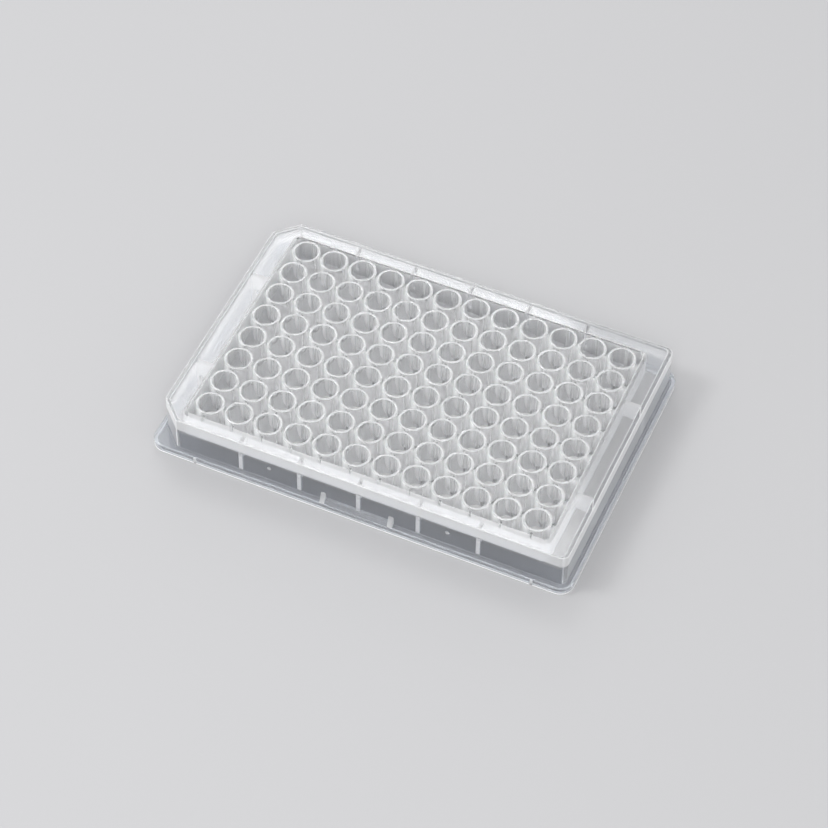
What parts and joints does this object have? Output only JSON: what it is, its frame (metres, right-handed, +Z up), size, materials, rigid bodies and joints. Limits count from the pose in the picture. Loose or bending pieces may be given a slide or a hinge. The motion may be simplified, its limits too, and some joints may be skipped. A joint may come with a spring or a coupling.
{
  "type": "well plate",
  "caption": "Flat rectangular laboratory plate with a grid of round-bottomed wells, a raised rim, two cut corners and a standard foot for stacking.",
  "frame": {"origin": "centre of the base, on the plane that the plate stands on", "axes": "+X from the cut corners and the first column to the last column, +Y from the last row to the first row, +Z up out of the wells"},
  "size_m": [0.1278, 0.0854, 0.0143],
  "materials": {
    "plate": "natural translucent polypropylene, satin"
  },
  "bodies": {
    "root": {"plate": "plate"}
  },
  "joints": []
}
